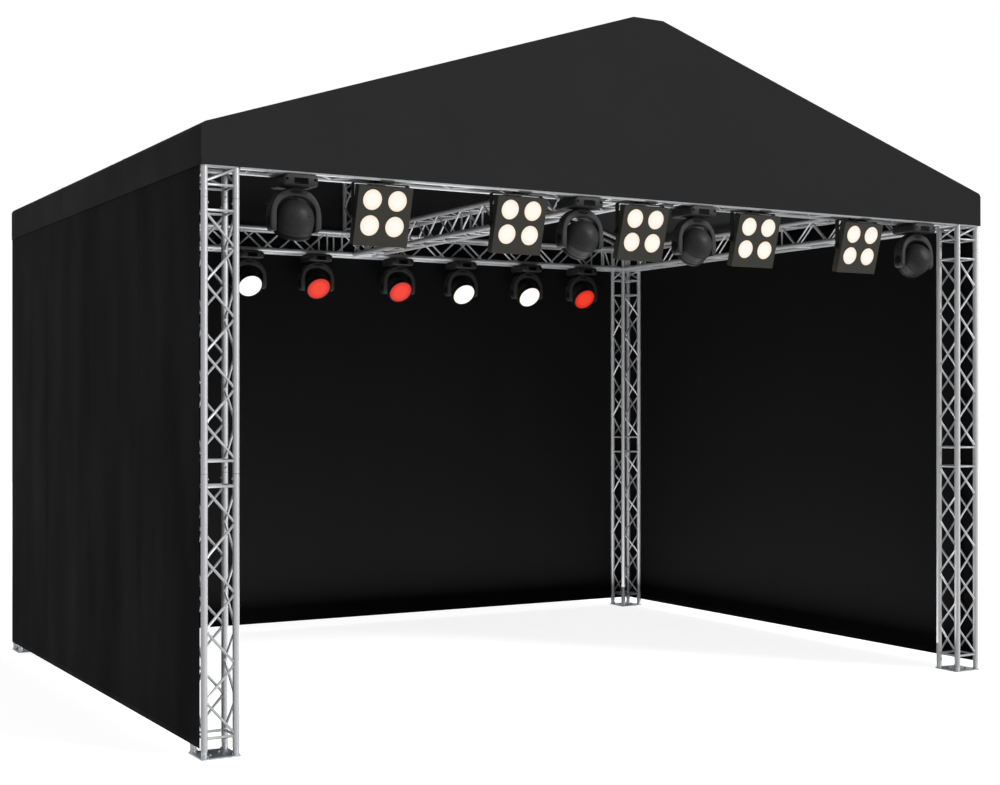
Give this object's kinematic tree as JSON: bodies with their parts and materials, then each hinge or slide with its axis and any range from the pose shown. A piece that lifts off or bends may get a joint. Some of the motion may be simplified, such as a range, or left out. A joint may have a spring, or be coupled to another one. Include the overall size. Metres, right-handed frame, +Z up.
{
  "type": "gable roof truss stage",
  "caption": "Small outdoor stage: box-truss towers and beams under a taut gable roof and walls, with moving-head lights and tilting floodlights hung from the beams.",
  "frame": {"origin": "middle of the stage on the ground, under the centre of the roof", "axes": "+X to the right seen from the open front, +Y towards the back wall, +Z up"},
  "size_m": [7.806, 6.006, 5.807],
  "materials": {
    "mill_aluminium": "mill finish tube with welded laces",
    "zinc_plate": "zinc plated steel",
    "coated_fabric": "black coated polyester, welded seams, satin",
    "moulded_housing": "fine textured moulding",
    "moulded_yoke": "fine textured moulding",
    "painted_housing": "powder coated sheet",
    "painted_bracket": "powder coated flat bar",
    "lens_glass": "clear",
    "plated_steel": "bright zinc plated fasteners"
  },
  "bodies": {
    "stage_frame": {"front_left_base_plate": "zinc_plate", "front_right_base_plate": "zinc_plate", "rear_left_base_plate": "zinc_plate", "rear_right_base_plate": "zinc_plate", "front_left_tower": "mill_aluminium", "front_right_tower": "mill_aluminium", "rear_left_tower": "mill_aluminium", "rear_right_tower": "mill_aluminium", "front_gable_frame": "mill_aluminium", "rear_gable_frame": "mill_aluminium", "front_beam": "mill_aluminium", "rear_beam": "mill_aluminium", "left_beam": "mill_aluminium", "right_beam": "mill_aluminium", "middle_beam": "mill_aluminium", "ridge_beam": "mill_aluminium", "roof_cover": "coated_fabric", "left_wall": "coated_fabric", "right_wall": "coated_fabric", "rear_wall": "coated_fabric", "front_light_1_base": "moulded_housing", "front_light_2_base": "moulded_housing", "front_light_3_base": "moulded_housing", "front_light_4_base": "moulded_housing", "rear_light_1_base": "moulded_housing", "rear_light_2_base": "moulded_housing", "rear_light_3_base": "moulded_housing", "rear_light_4_base": "moulded_housing", "rear_light_5_base": "moulded_housing", "rear_light_6_base": "moulded_housing", "flood_1_bracket": "painted_bracket", "flood_2_bracket": "painted_bracket", "flood_3_bracket": "painted_bracket", "flood_4_bracket": "painted_bracket", "flood_5_bracket": "painted_bracket"},
    "front_light_1_yoke": {"front_light_1_yoke": "moulded_yoke"},
    "front_light_1_head": {"front_light_1_head": "moulded_housing"},
    "front_light_2_yoke": {"front_light_2_yoke": "moulded_yoke"},
    "front_light_2_head": {"front_light_2_head": "moulded_housing"},
    "front_light_3_yoke": {"front_light_3_yoke": "moulded_yoke"},
    "front_light_3_head": {"front_light_3_head": "moulded_housing"},
    "front_light_4_yoke": {"front_light_4_yoke": "moulded_yoke"},
    "front_light_4_head": {"front_light_4_head": "moulded_housing"},
    "rear_light_1_yoke": {"rear_light_1_yoke": "moulded_yoke"},
    "rear_light_1_head": {"rear_light_1_head": "moulded_housing"},
    "rear_light_2_yoke": {"rear_light_2_yoke": "moulded_yoke"},
    "rear_light_2_head": {"rear_light_2_head": "moulded_housing"},
    "rear_light_3_yoke": {"rear_light_3_yoke": "moulded_yoke"},
    "rear_light_3_head": {"rear_light_3_head": "moulded_housing"},
    "rear_light_4_yoke": {"rear_light_4_yoke": "moulded_yoke"},
    "rear_light_4_head": {"rear_light_4_head": "moulded_housing"},
    "rear_light_5_yoke": {"rear_light_5_yoke": "moulded_yoke"},
    "rear_light_5_head": {"rear_light_5_head": "moulded_housing"},
    "rear_light_6_yoke": {"rear_light_6_yoke": "moulded_yoke"},
    "rear_light_6_head": {"rear_light_6_head": "moulded_housing"},
    "flood_1_housing": {"flood_1_housing": "painted_housing"},
    "flood_2_housing": {"flood_2_housing": "painted_housing"},
    "flood_3_housing": {"flood_3_housing": "painted_housing"},
    "flood_4_housing": {"flood_4_housing": "painted_housing"},
    "flood_5_housing": {"flood_5_housing": "painted_housing"}
  },
  "joints": [
    {"name": "front_light_1_pan", "type": "hinge", "parent": "stage_frame", "child": "front_light_1_yoke", "pos_m": [-3.13, -2.85, 3.93], "axis": [0, 0, 1], "range_deg": [-270, 270]},
    {"name": "front_light_1_tilt", "type": "hinge", "parent": "front_light_1_yoke", "child": "front_light_1_head", "pos_m": [-3.13, -2.85, 3.93], "axis": [1, 0, 0], "range_deg": [-165, 105]},
    {"name": "front_light_2_pan", "type": "hinge", "parent": "stage_frame", "child": "front_light_2_yoke", "pos_m": [-0.587, -2.85, 3.93], "axis": [0, 0, 1], "range_deg": [-270, 270]},
    {"name": "front_light_2_tilt", "type": "hinge", "parent": "front_light_2_yoke", "child": "front_light_2_head", "pos_m": [-0.587, -2.85, 3.93], "axis": [1, 0, 0], "range_deg": [-192, 78]},
    {"name": "front_light_3_pan", "type": "hinge", "parent": "stage_frame", "child": "front_light_3_yoke", "pos_m": [0.587, -2.85, 3.93], "axis": [0, 0, 1], "range_deg": [-270, 270]},
    {"name": "front_light_3_tilt", "type": "hinge", "parent": "front_light_3_yoke", "child": "front_light_3_head", "pos_m": [0.587, -2.85, 3.93], "axis": [1, 0, 0], "range_deg": [-192, 78]},
    {"name": "front_light_4_pan", "type": "hinge", "parent": "stage_frame", "child": "front_light_4_yoke", "pos_m": [3.177, -2.85, 3.93], "axis": [0, 0, 1], "range_deg": [-270, 270]},
    {"name": "front_light_4_tilt", "type": "hinge", "parent": "front_light_4_yoke", "child": "front_light_4_head", "pos_m": [3.177, -2.85, 3.93], "axis": [1, 0, 0], "range_deg": [-205, 65]},
    {"name": "rear_light_1_pan", "type": "hinge", "parent": "stage_frame", "child": "rear_light_1_yoke", "pos_m": [-1.4, 2.73, 3.93], "axis": [0, 0, 1], "range_deg": [-270, 270]},
    {"name": "rear_light_1_tilt", "type": "hinge", "parent": "rear_light_1_yoke", "child": "rear_light_1_head", "pos_m": [-1.4, 2.73, 3.93], "axis": [1, 0, 0], "range_deg": [-81, 189]},
    {"name": "rear_light_2_pan", "type": "hinge", "parent": "stage_frame", "child": "rear_light_2_yoke", "pos_m": [-0.58, 2.73, 3.93], "axis": [0, 0, 1], "range_deg": [-270, 270]},
    {"name": "rear_light_2_tilt", "type": "hinge", "parent": "rear_light_2_yoke", "child": "rear_light_2_head", "pos_m": [-0.58, 2.73, 3.93], "axis": [1, 0, 0], "range_deg": [-81, 189]},
    {"name": "rear_light_3_pan", "type": "hinge", "parent": "stage_frame", "child": "rear_light_3_yoke", "pos_m": [0.45, 2.73, 3.93], "axis": [0, 0, 1], "range_deg": [-270, 270]},
    {"name": "rear_light_3_tilt", "type": "hinge", "parent": "rear_light_3_yoke", "child": "rear_light_3_head", "pos_m": [0.45, 2.73, 3.93], "axis": [1, 0, 0], "range_deg": [-81, 189]},
    {"name": "rear_light_4_pan", "type": "hinge", "parent": "stage_frame", "child": "rear_light_4_yoke", "pos_m": [1.29, 2.73, 3.93], "axis": [0, 0, 1], "range_deg": [-270, 270]},
    {"name": "rear_light_4_tilt", "type": "hinge", "parent": "rear_light_4_yoke", "child": "rear_light_4_head", "pos_m": [1.29, 2.73, 3.93], "axis": [1, 0, 0], "range_deg": [-81, 189]},
    {"name": "rear_light_5_pan", "type": "hinge", "parent": "stage_frame", "child": "rear_light_5_yoke", "pos_m": [2.2, 2.73, 3.93], "axis": [0, 0, 1], "range_deg": [-270, 270]},
    {"name": "rear_light_5_tilt", "type": "hinge", "parent": "rear_light_5_yoke", "child": "rear_light_5_head", "pos_m": [2.2, 2.73, 3.93], "axis": [1, 0, 0], "range_deg": [-81, 189]},
    {"name": "rear_light_6_pan", "type": "hinge", "parent": "stage_frame", "child": "rear_light_6_yoke", "pos_m": [3, 2.73, 3.93], "axis": [0, 0, 1], "range_deg": [-270, 270]},
    {"name": "rear_light_6_tilt", "type": "hinge", "parent": "rear_light_6_yoke", "child": "rear_light_6_head", "pos_m": [3, 2.73, 3.93], "axis": [1, 0, 0], "range_deg": [-81, 189]},
    {"name": "flood_1_tilt", "type": "hinge", "parent": "stage_frame", "child": "flood_1_housing", "pos_m": [-2.414, -2.85, 4.0206], "axis": [1, 0, 0], "range_deg": [-105, 74]},
    {"name": "flood_2_tilt", "type": "hinge", "parent": "stage_frame", "child": "flood_2_housing", "pos_m": [-1.197, -2.85, 4.0206], "axis": [1, 0, 0], "range_deg": [-105, 74]},
    {"name": "flood_3_tilt", "type": "hinge", "parent": "stage_frame", "child": "flood_3_housing", "pos_m": [0.02, -2.85, 4.0206], "axis": [1, 0, 0], "range_deg": [-105, 74]},
    {"name": "flood_4_tilt", "type": "hinge", "parent": "stage_frame", "child": "flood_4_housing", "pos_m": [1.237, -2.85, 4.0206], "axis": [1, 0, 0], "range_deg": [-105, 74]},
    {"name": "flood_5_tilt", "type": "hinge", "parent": "stage_frame", "child": "flood_5_housing", "pos_m": [2.454, -2.85, 4.0206], "axis": [1, 0, 0], "range_deg": [-105, 74]}
  ]
}
